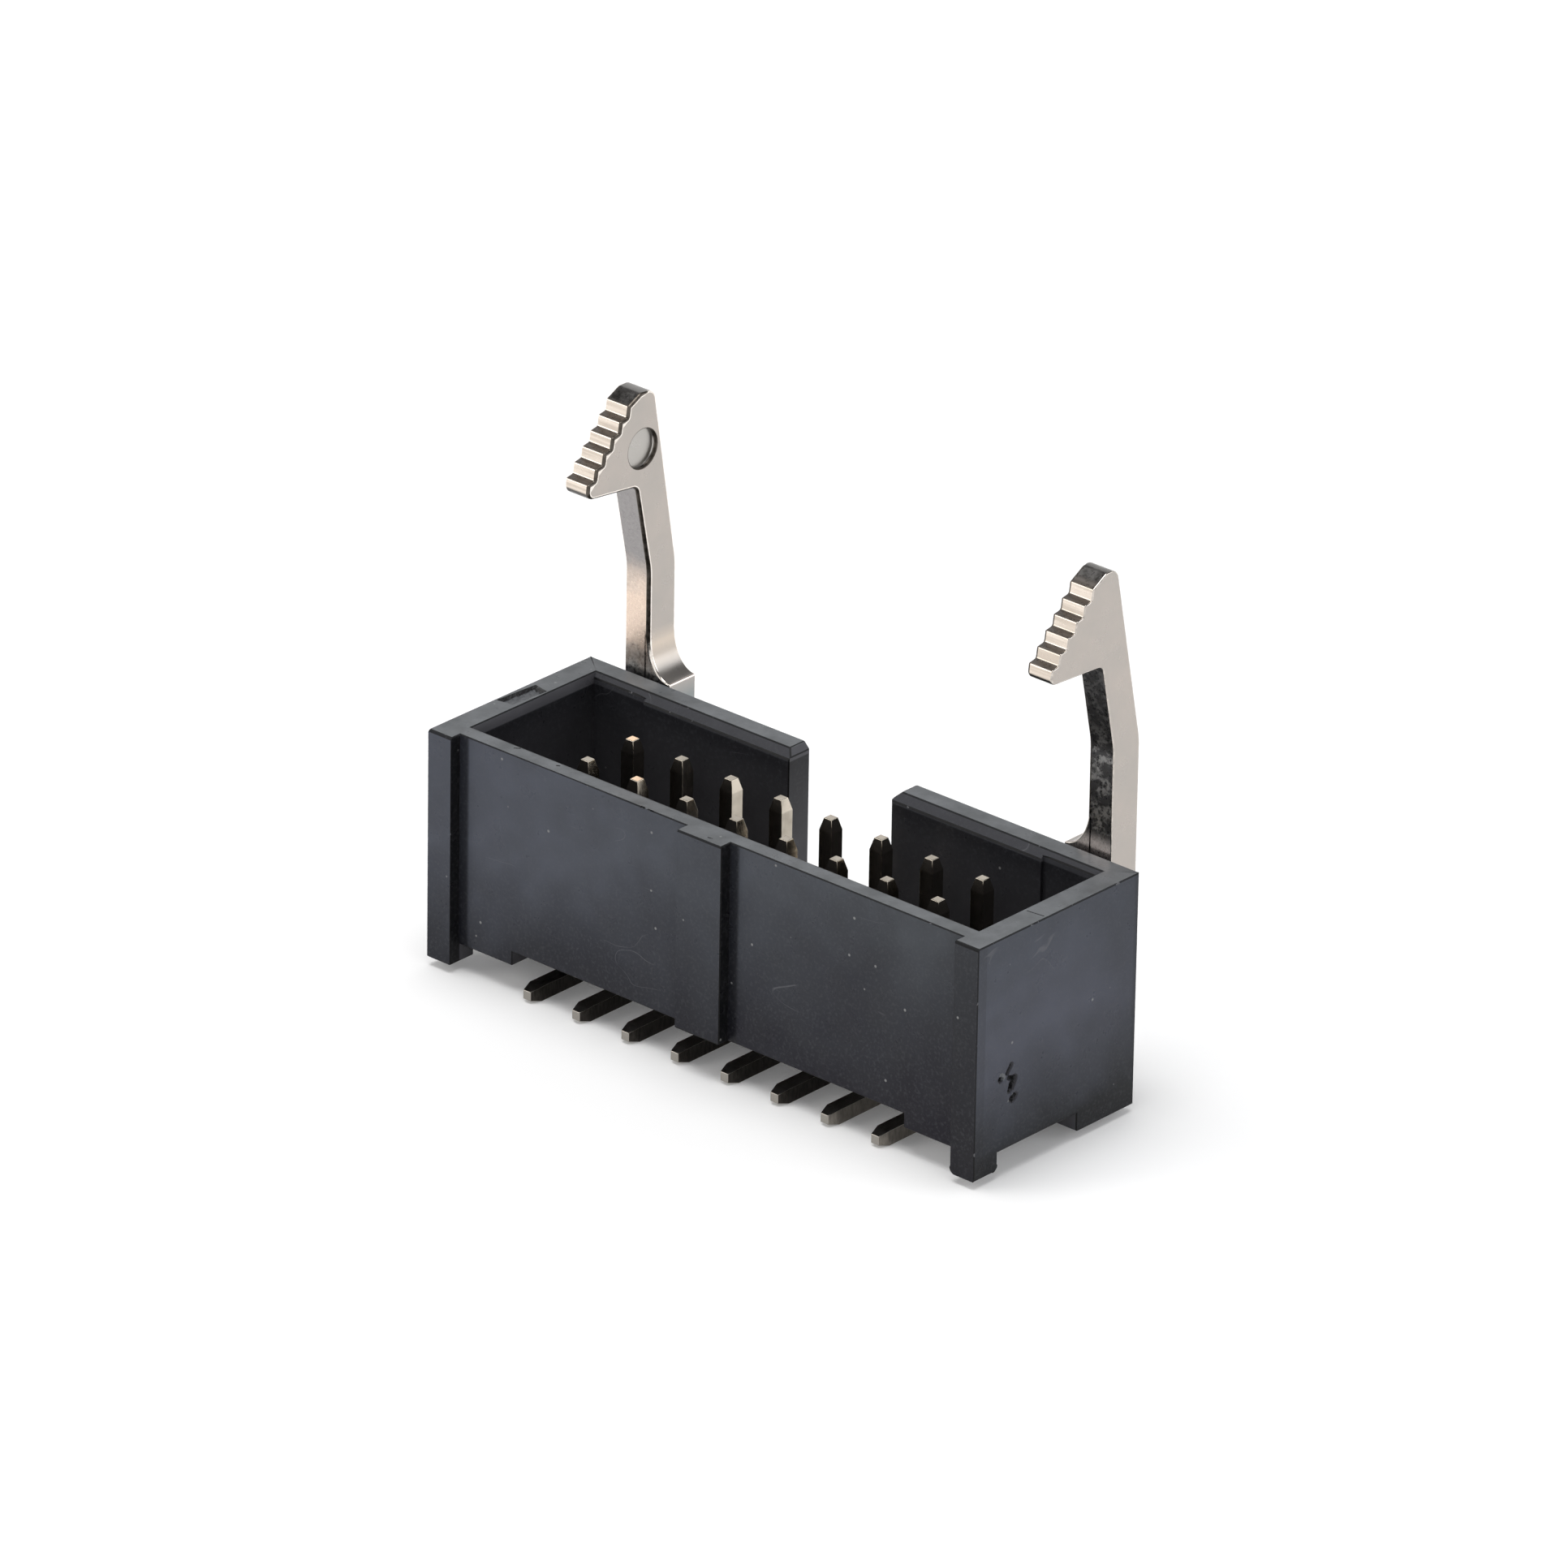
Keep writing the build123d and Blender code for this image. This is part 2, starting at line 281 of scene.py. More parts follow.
def moulded_plastic(name, roughness, shade=0.0, chips=0.0):
    """Black satin plastic with soft clouds of flow, faint hairlines, pale specks and paler rims; the paler
    rims are painted light, and the walls and ribs carry painted shade.
    """
    s = Shader(name, IOR=1.3, Specular_IOR_Level=0.4)
    drift = s.swing(s.noise(5.5, 2.5, 0.55, distortion=0.6), 7.0)
    grain = s.noise(0.13, 4.0, 0.6)
    y = s.place(Y)
    outside = s.either(s.ramp(y, FRONT_FACE + 0.05, FRONT_FACE), s.ramp(y, BACK_FACE - 0.05, BACK_FACE))
    end = s.times(s.ramp(s.side(), END_FACE - 0.08, END_FACE - 0.03), s.facing(X))
    base = s.mix(outside, inner_walls(s), long_walls(s, drift))
    base = s.mix(end, base, end_walls(s, drift))
    # Painted shade, near black, in the inner corners beside the ribs.
    corner_shaded = s.either(*(corner_shade(s, corner) for corner in RIB_CORNERS))
    base = s.mix(s.times(corner_shaded, 0.75), base, (0.006, 0.006, 0.008))
    # Painted shade on the sides of the ribs.
    base = s.mix(rib_side_shade(s), base, (0.006, 0.006, 0.007))
    patches = s.ramp(s.noise(1.3, 1.0, 0.5), 0.30, 0.70, 0.0, 0.22)
    base = s.mix(patches, base, (0.020, 0.020, 0.022))
    # Painted light: the rim tops are paler than the walls, in lumpy tones.
    rim = s.times(s.ramp(s.place(Z), RIM - 0.04, RIM - 0.01), s.facing(Z))
    lumps = s.ramp(s.noise(1.1, 3.0, 0.6), 0.30, 0.70)
    base = s.mix(rim, base, s.mix(lumps, (0.082, 0.088, 0.093), (0.135, 0.143, 0.152)))
    base = s.mix(s.ramp(grain, 0.50, 0.80, 0.0, 0.30), base, (0.085, 0.088, 0.096))
    base = s.mix(hairlines(s), base, (0.13, 0.13, 0.14))
    base = s.mix(s.ramp(s.specks(1.15), 0.035, 0.060, 0.75, 0.0), base, (0.24, 0.24, 0.24))
    # Painted shade: shade darkens the whole material towards black.
    if shade:
        base = s.mix(shade, base, (0.0, 0.0, 0.0))
    if chips:
        base = s.mix(s.ramp(s.noise(0.30, 2.0, 0.6), 0.68, 0.71, 0.0, chips), base, (0.14, 0.14, 0.15))
    s.colour(base)
    s.roughness(s.ramp(s.noise(0.9, 3.0, 0.6), 0.3, 0.7, *roughness))
    wavy = s.bump(s.noise(1.4, 2.0), 0.010, 0.30)
    dents = s.bump(s.times(s.noise(0.35, 3.0, 0.6), rim), 0.020, 0.35, wavy)
    s.normal(s.bump(grain, 0.004, 0.12, dents))
    return s.material


def torn_plastic(name, dark, pale, lips):
    """Broken plastic where a gate was snapped off: dark in its pits, pale on the torn lips. Its near black
    version is painted shade in the pits and round the sunk scar.
    """
    s = Shader(name, Specular_IOR_Level=0.35)
    tears = s.noise(0.12, 4.0, 0.65)
    s.colour(s.mix(s.ramp(tears, *lips), dark, pale))
    s.roughness(s.ramp(tears, 0.3, 0.7, 0.40, 0.65))
    s.normal(s.bump(tears, 0.015, 0.5))
    return s.material


# Metal

def cast_flat():
    """Nickel plate on the broad flats of a casting: smooth satin, faintly clouded, with painted reflections
    on the blade near the foot and in the foot's hollow curve, painted shade low on the foot and a painted
    highlight along the top of the foot's face.
    """
    s = Shader("cast_flat", Metallic=1.0)
    side, z = s.side(), s.place(Z)
    warm = (0.62, 0.54, 0.46)
    blade = s.mix(s.ramp(s.noise(1.5, 3.0, 0.6), 0.3, 0.7), (0.430, 0.400, 0.370), (0.468, 0.424, 0.388))
    mark_floor = s.window(side, INNER + 0.07, INNER + 0.37, 0.05)
    blade = s.mix(mark_floor, blade, (0.455, 0.435, 0.408))
    # Painted reflection: warm and bright on the blade just above the foot.
    near_foot = s.times(s.ramp(z, 11.9, 11.2), s.ramp(side, 11.2, 11.15))
    blade = s.mix(near_foot, blade, warm)
    # Painted reflection in the foot's hollow curve, warm high up, darker low down.
    hollow = s.mix(s.ramp(z, 11.2, 10.3), warm, (0.36, 0.335, 0.312))
    # Painted shade: the foot is darker and bluer low down, inside the housing.
    foot = s.mix(s.ramp(z, 9.2, 9.85), (0.275, 0.295, 0.295), (0.400, 0.375, 0.355))
    foot = s.mix(s.ramp(z, FOOT_TOP - 0.04, FOOT_TOP), foot, hollow)
    # Painted highlight: a bright line along the top edge of the foot's face.
    lip = s.times(s.ramp(side, 10.12, 10.09), s.ramp(z, 9.85, 9.88))
    foot = s.mix(lip, foot, (0.95, 0.85, 0.78))
    s.colour(s.mix(s.ramp(side, INNER - 0.005, INNER - 0.015), blade, foot))
    s.roughness(s.ramp(s.noise(0.7, 3.0, 0.6), 0.3, 0.7, 0.26, 0.33))
    waves = s.bump(s.noise(0.8, 2.0), 0.010, 0.25)
    s.normal(s.bump(s.noise(0.10, 3.0, 0.6), 0.003, 0.25, waves))
    return s.material


def strip_reflection(s):
    """Share of the painted reflection, warm and bright, on the left arm: between its dark foot and the bend.
    """
    height = s.math("ADD", s.place(Z), s.swing(s.noise(0.8, 3.0, 0.6), 1.4))
    left = s.ramp(s.place(X), 0.5, -0.5)
    return s.times(s.ramp(height, 10.1, 11.2), s.ramp(height, 13.2, 14.9, 1.0, 0.0), left)


def left_strip(s, grain, fine, high):
    """Frosted grey with bright grains below the bend, smoother above it; both greys are painted reflections.
    """
    low = s.mix(s.ramp(grain, 0.42, 0.62), (0.24, 0.230, 0.220), (0.60, 0.580, 0.560))
    low = s.mix(s.ramp(fine, 0.64, 0.72), low, (0.80, 0.76, 0.72))
    smooth = s.mix(s.ramp(grain, 0.30, 0.70), (0.275, 0.262, 0.262), (0.345, 0.330, 0.325))
    smooth = s.mix(s.ramp(fine, 0.70, 0.76), smooth, (0.55, 0.52, 0.50))
    return s.mix(high, low, smooth)


def right_strip(s, grain, fine):
    """Dark with paler patches, a painted reflection of the housing's dark inside, and bright low down, a
    painted reflection of the rim.
    """
    z = s.place(Z)
    patches = s.ramp(s.noise(0.55, 3.0, 0.65, distortion=0.5), 0.46, 0.54)
    patches = s.times(patches, s.ramp(grain, 0.40, 0.53), s.ramp(z, 15.6, 14.0, 0.35, 1.0))
    strip = s.mix(patches, (0.155, 0.152, 0.154), (0.60, 0.59, 0.58))
    bright = s.mix(s.ramp(fine, 0.4, 0.6), (0.72, 0.64, 0.60), (0.90, 0.81, 0.77))
    return s.mix(s.times(s.ramp(z, 10.9, 10.4), s.ramp(z, 9.0, 9.6)), strip, bright)


def teeth(s):
    """The head's serrations: warm risers with painted shade where they turn to face down, and dark treads
    between them, painted shade as they face the dim room above.
    """
    up = s.towards(Z)
    lines = s.noise(0.16, 2.0, 0.5, stretch=(0.04, 1.0, 1.0))
    riser = s.mix(s.ramp(lines, 0.40, 0.60), (0.62, 0.54, 0.46), (0.80, 0.71, 0.62))
    # Painted shade where the risers face down.
    riser = s.mix(s.ramp(up, -0.03, -0.28), riser, (0.085, 0.080, 0.076))
    tread = s.mix(s.ramp(lines, 0.35, 0.65), (0.20, 0.175, 0.155), (0.30, 0.270, 0.245))
    # Painted shade: the upward-facing treads are dark.
    return s.mix(s.ramp(up, 0.50, 0.80), riser, tread)


def top_reflection(s):
    """Painted reflection of the dark room on the head's top, cloudier to the back."""
    clouds = s.ramp(s.noise(0.45, 3.0, 0.6), 0.40, 0.62)
    clouds = s.either(s.times(clouds, 0.7), s.ramp(s.place(Y), 3.80, 4.35))
    return s.mix(clouds, (0.062, 0.058, 0.054), (0.27, 0.26, 0.25))


def cast_front():
    """The narrow faces as cast: the arm's front strip, the strip behind it and the head's serrations, in
    tones that are mostly painted reflections and painted shade.
    """
    s = Shader("cast_front", Metallic=1.0)
    z = s.place(Z)
    grain, fine = s.noise(0.16, 4.0, 0.7), s.noise(0.07, 3.0, 0.6)
    high = s.ramp(z, 13.4, 14.4)
    left, right = left_strip(s, grain, fine, high), right_strip(s, grain, fine)
    # The two levers' strips differ in their painted reflections.
    strip = s.mix(s.ramp(s.place(X), -0.5, 0.5), left, right)
    warm = s.mix(s.ramp(fine, 0.35, 0.65), (0.74, 0.59, 0.49), (0.86, 0.70, 0.58))
    # Painted reflection: warm and bright on the left arm's strip.
    strip = s.mix(strip_reflection(s), strip, warm)
    behind = s.mix(s.ramp(grain, 0.35, 0.65), (0.400, 0.385, 0.370), (0.500, 0.478, 0.455))
    strip = s.mix(s.ramp(s.towards(Y), -0.5, -0.2), strip, behind)
    head = s.times(s.ramp(s.place(Y), 3.62, 3.50), s.ramp(z, 18.2, 18.3))
    top = s.times(s.ramp(z, TOP - 0.42, TOP - 0.27), s.ramp(s.towards(Z), 0.30, 0.60))
    # The head's top takes the painted reflection of the dark room.
    s.colour(s.mix(top, s.mix(head, strip, teeth(s)), top_reflection(s)))
    s.roughness(s.ramp(grain, 0.3, 0.7, 0.24, 0.36))
    calm = s.either(s.times(head, 0.8), s.times(high, 0.6))
    s.normal(s.bump(s.times(grain, s.math("SUBTRACT", 1.0, calm)), 0.014, 0.45))
    return s.material


def cast_edge(name, colours, roughness, right=None):
    """A rounded edge of the casting, a painted highlight when its colours are pale and painted shade when
    they are dark; the right lever's may have colours of its own.
    """
    s = Shader(name, Metallic=1.0)
    worn = s.noise(0.22, 3.0, 0.6)
    colour = s.mix(s.ramp(worn, 0.35, 0.65), *colours)
    if right:
        colour = s.mix(s.ramp(s.place(X), -0.5, 0.5), colour, s.mix(s.ramp(worn, 0.35, 0.65), *right))
    s.colour(colour)
    s.roughness(s.ramp(worn, 0.3, 0.7, *roughness))
    s.normal(s.bump(worn, 0.006, 0.3))
    return s.material


def tin_plate():
    """Warm pale plating with faint drawn lines along the contact, a paler painted reflection on the facets at
    its tip, and darker on the tails, painted shade under the housing.
    """
    s = Shader("tin_plate", Metallic=1.0)
    z = s.place(Z)
    drawn = s.noise(0.05, 3.0, 0.6, stretch=(1.0, 1.0, 0.06))
    plated = s.mix(s.ramp(s.noise(0.5, 2.0), 0.3, 0.7), (0.38, 0.34, 0.28), (0.50, 0.45, 0.38))
    # Painted reflection: paler facets at the tip.
    facets = s.times(s.ramp(z, 8.66, 8.72), s.ramp(s.towards(Z), 0.80, 0.60))
    plated = s.mix(facets, plated, (0.62, 0.56, 0.47))
    # Painted shade: darker on the tails, under the housing.
    s.colour(s.mix(s.ramp(z, 1.2, 0.7), plated, (0.33, 0.31, 0.28)))
    s.roughness(s.ramp(drawn, 0.3, 0.7, 0.12, 0.20))
    s.normal(s.bump(drawn, 0.002, 0.25))
    return s.material


def tail_side_shade():
    """Cut sides of the tails: dark brown painted shade, and a paler painted reflection towards the right-hand
    end of the row.
    """
    s = Shader("tail_side_shade", Metallic=1.0)
    marks = s.noise(0.12, 3.0, 0.6, stretch=(1.0, 1.0, 0.3))
    dark = s.mix(s.ramp(marks, 0.3, 0.7), (0.020, 0.018, 0.016), (0.050, 0.045, 0.040))
    pale = s.mix(s.ramp(marks, 0.3, 0.7), (0.16, 0.145, 0.13), (0.26, 0.24, 0.21))
    s.colour(s.mix(s.ramp(s.place(X), 4.6, 6.0), dark, pale))
    s.roughness(s.ramp(marks, 0.3, 0.7, 0.28, 0.42))
    s.normal(s.bump(marks, 0.006, 0.4))
    return s.material


def drawn_steel():
    """Bright steel of the pivot pins, with fine rings round them."""
    s = Shader("drawn_steel", Metallic=1.0)
    rings = s.noise(0.04, 3.0, 0.6, stretch=(0.1, 1.0, 1.0))
    s.colour(s.mix(rings, (0.52, 0.52, 0.53), (0.66, 0.66, 0.66)))
    s.roughness(s.ramp(rings, 0.3, 0.7, 0.26, 0.36))
    s.normal(s.bump(rings, 0.003, 0.4))
    return s.material


# Meshes. All modelling is in millimetres and scaled to metres at the end.

SHARP_ANGLE = 35                      # degrees from which an outward edge is rounded
SMOOTH_ANGLE = 32                     # degrees up to which broad faces share a normal
BLEND_ANGLE = 62                      # and up to which a rounded edge takes their normals
TINY = 1e-12


def apply_modifiers(obj):
    bpy.context.view_layer.update()
    graph = bpy.context.evaluated_depsgraph_get()
    mesh = bpy.data.meshes.new_from_object(obj.evaluated_get(graph))
    obj.modifiers.clear()
    old, obj.data = obj.data, mesh
    bpy.data.meshes.remove(old)


def copy_of(node, name, materials):
    """A new piece in millimetres with the shape of a CAD node, without the stored normals."""
    bm = bmesh.new()
    bm.from_mesh(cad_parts[node].data)
    bmesh.ops.scale(bm, vec=(1 / MM,) * 3, verts=bm.verts)
    bmesh.ops.remove_doubles(bm, verts=bm.verts, dist=1e-4)
    bm.verts.index_update()
    mesh = bpy.data.meshes.new(name)
    mesh.from_pydata([v.co for v in bm.verts], [], [[v.index for v in f.verts] for f in bm.faces])
    bm.free()
    for material in materials:
        mesh.materials.append(material)
    return new_object(name, mesh)


def join(obj, part):
    """Adds the part's faces to the piece and removes the part."""
    bm = bmesh.new()
    bm.from_mesh(obj.data)
    bm.from_mesh(part.data)
    bm.to_mesh(obj.data)
    bm.free()
    mesh = part.data
    bpy.data.objects.remove(part)
    bpy.data.meshes.remove(mesh)


def round_edges(obj, width, segments, weight=None):
    """Rounds the sharp outward edges; weight(a, b), where given, is each edge's share of the width."""
    mesh = obj.data
    bm = bmesh.new()
    bm.from_mesh(mesh)
    weights = bm.edges.layers.float.new("bevel_weight_edge")
    for edge in bm.edges:
        if len(edge.link_faces) != 2 or any(f.material_index for f in edge.link_faces):
            continue
        if edge.is_convex and edge.calc_face_angle() > math.radians(SHARP_ANGLE):
            edge[weights] = weight(edge.verts[0].co, edge.verts[1].co) if weight else 1.0
    bm.to_mesh(mesh)
    bm.free()
    mod = obj.modifiers.new("edges", "BEVEL")
    mod.width = width
    mod.segments = segments
    mod.limit_method = "WEIGHT"
    mod.use_clamp_overlap = False
    mod.material = EDGES
    apply_modifiers(obj)


def set_normals(mesh, edge_slots, flat_slots):
    """Faces keep true normals, smoothed over shallow angles; rounded edges blend between them.

    Faces in the flat slots are crisp: they neither take nor give normals."""
    faces = mesh.polygons
    around = [[] for _ in mesh.vertices]
    for face in faces:
        for v in face.vertices:
            around[v].append(face.index)
    normals = [Vector(f.normal) for f in faces]
    areas = [max(f.area, 1e-9) for f in faces]
    broad = [f.material_index not in edge_slots and f.material_index not in flat_slots for f in faces]
    smooth, blend = (math.cos(math.radians(angle)) for angle in (SMOOTH_ANGLE, BLEND_ANGLE))

    def mean(vertex, own, limit, of_broad):
        total = Vector((0, 0, 0))
        for g in around[vertex]:
            if broad[g] == of_broad and normals[g].dot(own) > limit:
                total += normals[g] * areas[g]
        return total

    result = []
    for face in faces:
        own = normals[face.index]
        for v in face.vertices:
            if face.material_index in flat_slots:
                total = own
            elif broad[face.index]:
                total = mean(v, own, smooth, True)
            else:
                total = mean(v, own, blend, True)
                if total.length < TINY:
                    total = mean(v, own, blend, False)
            result.append(total.normalized() if total.length > TINY else own)
    mesh.shade_smooth()
    mesh.normals_split_custom_set(result)


def finish_piece(obj, node, body, edge_slots=(), flat_slots=()):
    """Scales the piece to metres, sets its normals and lets it stand for its CAD node."""
    obj.data.transform(Matrix.Scale(MM, 4))
    obj.data.update()
    set_normals(obj.data, edge_slots, flat_slots)
    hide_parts(node)
    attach(obj, body)


class Mesher:
    """Collects vertices, joined where they meet, and faces with their material slots."""

    def __init__(self):
        self.points, self.lookup, self.faces, self.slots = [], {}, [], []

    def vertex(self, point):
        key = tuple(round(c, 4) for c in point)
        if key not in self.lookup:
            self.lookup[key] = len(self.points)
            self.points.append(key)
        return self.lookup[key]

    def face(self, corners, slot):
        """Adds a face, without the corners that have run together."""
        loop = []
        for c in corners:
            if not loop or loop[-1] != c:
                loop.append(c)
        if len(loop) > 1 and loop[0] == loop[-1]:
            loop.pop()
        if len(set(loop)) >= 3 and len(set(loop)) == len(loop):
            self.faces.append(loop)
            self.slots.append(slot)

    def band(self, ring_a, ring_b, slot):
        """Joins two closed rings of as many vertices."""
        count = len(ring_a)
        for i in range(count):
            j = (i + 1) % count
            self.face([ring_a[i], ring_a[j], ring_b[j], ring_b[i]], slot)

    def cap(self, outer, holes, slot):
        """Fills a flat ring, leaving the holes open."""
        loops = []
        for ring in [outer] + holes:
            loops.append([v for i, v in enumerate(ring) if v != ring[i - 1]])
        flat = [v for loop in loops for v in loop]
        corners = [[Vector(self.points[v]) for v in loop] for loop in loops]
        for tri in tessellate_polygon(corners):
            self.face([flat[i] for i in tri], slot)

    def object(self, name, materials, mirror=False):
        mesh = bpy.data.meshes.new(name)
        sign = -1 if mirror else 1
        mesh.from_pydata([(x * sign, y, z) for x, y, z in self.points], [], self.faces)
        mesh.polygons.foreach_set("material_index", self.slots)
        bm = bmesh.new()
        bm.from_mesh(mesh)
        bmesh.ops.recalc_face_normals(bm, faces=bm.faces)
        bm.to_mesh(mesh)
        bm.free()
        for material in materials:
            mesh.materials.append(material)
        return new_object(name, mesh)


def rounded_outline(corners):
    """Closed outline from corners (a, b, radius, *values) with arcs and finely divided runs.

    The values are carried along and blended between the corners."""
    arc_step, arc_turn, run_step = 0.07, math.radians(14), 0.30
    count = len(corners)
    ends = []
    for i, (a, b, radius, *_) in enumerate(corners):
        p = Vector((a, b))
        if radius <= 0:
            ends.append([p])
            continue
        before, after = Vector(corners[i - 1][:2]), Vector(corners[(i + 1) % count][:2])
        u, w = (before - p).normalized(), (after - p).normalized()
        half = u.angle(w) / 2
        middle = p + (u + w).normalized() * radius / math.sin(half)
        start, stop = p + u * radius / math.tan(half), p + w * radius / math.tan(half)
        turn = math.pi - 2 * half
        parts = max(2, math.ceil(turn * radius / arc_step), math.ceil(turn / arc_turn))
        arm, last = start - middle, stop - middle
        sign = 1 if arm.x * last.y - arm.y * last.x > 0 else -1
        arc = []
        for k in range(parts + 1):
            angle = sign * turn * k / parts
            c, s = math.cos(angle), math.sin(angle)
            arc.append(middle + Vector((arm.x * c - arm.y * s, arm.x * s + arm.y * c)))
        ends.append(arc)
    points, carried = [], []
    for i in range(count):
        values, following = corners[i][3:], corners[(i + 1) % count][3:]
        points += ends[i]
        carried += [list(values) for _ in ends[i]]
        a, b = ends[i][-1], ends[(i + 1) % count][0]
        pieces = max(1, math.ceil((b - a).length / run_step))
        for k in range(1, pieces):
            share = k / pieces
            points.append(a.lerp(b, share))
            carried.append([v + (f - v) * share for v, f in zip(values, following)])
    return points, carried


def near_point(p, a, b):
    """The point of the line from a to b that is nearest to p."""
    foot_point, share = intersect_point_line(p, a, b)
    return a if share < 0 else b if share > 1 else Vector(foot_point[:2])


def inset(points, depths):
    """Outline moved inwards by each point's depth; points that would cross are slid together."""
    neighbours, shallow, slack = 40, 0.02, 0.97
    count = len(points)
    area = sum(points[i - 1].x * points[i].y - points[i].x * points[i - 1].y for i in range(count))
    sign = 1 if area > 0 else -1
    moved, good = [], []
    for i in range(count):
        run_in = (points[i] - points[i - 1]).normalized()
        run_out = (points[(i + 1) % count] - points[i]).normalized()
        side = Vector((-run_in.y - run_out.y, run_in.x + run_out.x)) * sign
        stretch = max(side.length / 2, 0.3)
        moved.append(points[i] + side.normalized() * depths[i] / stretch)
    for i in range(count):
        nearest = 1e9
        if depths[i] >= shallow:
            for k in range(i - neighbours, i + neighbours):
                near = near_point(moved[i], points[k % count], points[(k + 1) % count])
                nearest = min(nearest, (moved[i] - near).length)
        good.append(nearest > depths[i] * slack)
    if not any(good):
        return moved
    result = list(moved)
    for i in range(count):
        if not good[i]:
            back = next(k for k in range(1, count) if good[(i - k) % count])
            ahead = next(k for k in range(1, count) if good[(i + k) % count])
            result[i] = moved[(i - back) % count].lerp(moved[(i + ahead) % count], back / (back + ahead))
    return result


def rounded_prism(mesh, corners, low, high, place, low_holes=(), high_holes=(), wide=0.12):
    """Prism over a rounded outline. Its corners carry (low edge's radius, high edge's radius).

    Edges wider than wide take painted shade with a painted highlight as their last line, and narrow ones a
    painted highlight."""
    steps = 5
    points, values = rounded_outline(corners)
    count = len(points)
    stacks = []
    for side, end, sign in ((0, low, 1), (1, high, -1)):
        radii = [v[side] for v in values]
        stack = []
        for k in range(steps + 1):
            angle = math.pi / 2 * k / steps
            ring = inset(points, [r * (1 - math.cos(angle)) for r in radii])
            heights = [end + sign * r * (1 - math.sin(angle)) for r in radii]
            stack.append([mesh.vertex(place(p, height)) for p, height in zip(ring, heights)])
        stacks.append(stack)
        for k in range(steps):
            for i in range(count):
                j = (i + 1) % count
                slot = BROAD_EDGE if radii[i] > wide and k < steps - 1 else GLINT
                mesh.face([stack[k][i], stack[k][j], stack[k + 1][j], stack[k + 1][i]], slot)
    mesh.band(stacks[0][0], stacks[1][0], NARROW)
    mesh.cap(stacks[0][-1], list(low_holes), FLATS)
    mesh.cap(stacks[1][-1], list(high_holes), FLATS)


# Levers, drawn for the right side

def lean(y, z):
    """Where a line up the arm from y at the bend is at height z."""
    return y - (z - BEND) * math.tan(math.radians(LEAN))


def lever_corners(teeth_shift, top_shift, back_shift, lip_round):
    """Outline of the blade as (y, z, radius, inner edge, outer edge)."""
    head, arm, plain = (0.13, 0.05), (0.15, 0.05), (0.06, 0.06)
    tooth_round, hub_round, nose_round, bend_round = 0.09, 0.47, 0.35, 3.0
    teeth, tooth_run, tooth_rise = 5, 0.45, 0.514
    y, z = LIP_Y + teeth_shift[0], LIP_Z + teeth_shift[1]
    corners = [(y, z, lip_round, 0.13, 0.07)]
    y, z = y + 0.07, z + 0.62
    corners.append((y, z, 0.10, *head))
    for _ in range(teeth):
        corners.append((y + 0.38, z + 0.07, tooth_round, *head))
        y, z = y + tooth_run, z + tooth_rise
        corners.append((y, z, tooth_round, *head))
    top = TOP + top_shift
    back = lean(ARM_BACK, TOP) + back_shift
    corners += [
        (back - 0.62 - back_shift * 0.6, top, 0.33, 0.13, 0.06),
        (back, top, 0.46, 0.07, 0.06),
        (ARM_BACK, BEND, bend_round, 0.07, 0.07),
        (ARM_BACK, PIVOT_Z + 2.10, hub_round, *plain),
        (PIVOT_Y + HUB, PIVOT_Z + HUB, hub_round, *plain),
        (PIVOT_Y + HUB, PIVOT_Z - HUB, 0.85, *plain),
        (PIVOT_Y - HUB, PIVOT_Z - HUB, hub_round, *plain),
        (NOSE_TIP, NOSE_LOW, nose_round, *plain),
        (NOSE_TIP, NOSE_HIGH, nose_round, *plain),
        (ARM_FRONT, NOSE_HIGH, hub_round, *plain),
        (ARM_FRONT, 10.20, 0, *head),
        (ARM_FRONT, 11.00, 0, *arm),
        (ARM_FRONT, BEND, bend_round, *arm),
        (3.845, 18.16, 0.32, *head),
    ]
    return corners


def circle(mesh, x, y, z, radius):
    count = 40
    turns = [2 * math.pi * k / count for k in range(count)]
    return [mesh.vertex((x, y + radius * math.cos(t), z + radius * math.sin(t))) for t in turns]


def mark_recess(mesh, y, z):
    """Round sunk mark on the inner flat; gives the loop that the flat is open for."""
    radius, depth = 0.81, 0.22
    lip = [(0.045, 0.0), (0.015, 0.012), (0.0, 0.05), (0.0, depth - 0.04)]
    rings = [circle(mesh, INNER + sunk, y, z, radius + wider) for wider, sunk in lip]
    # The mark's rounded lip and wall take the edges' painted shade.
    for a, b in zip(rings, rings[1:]):
        mesh.band(a, b, BROAD_EDGE)
    floor = circle(mesh, INNER + depth, y, z, radius - 0.03)
    mesh.band(rings[-1], floor, FLATS)
    mesh.cap(floor, [], FLATS)
    return rings[0]


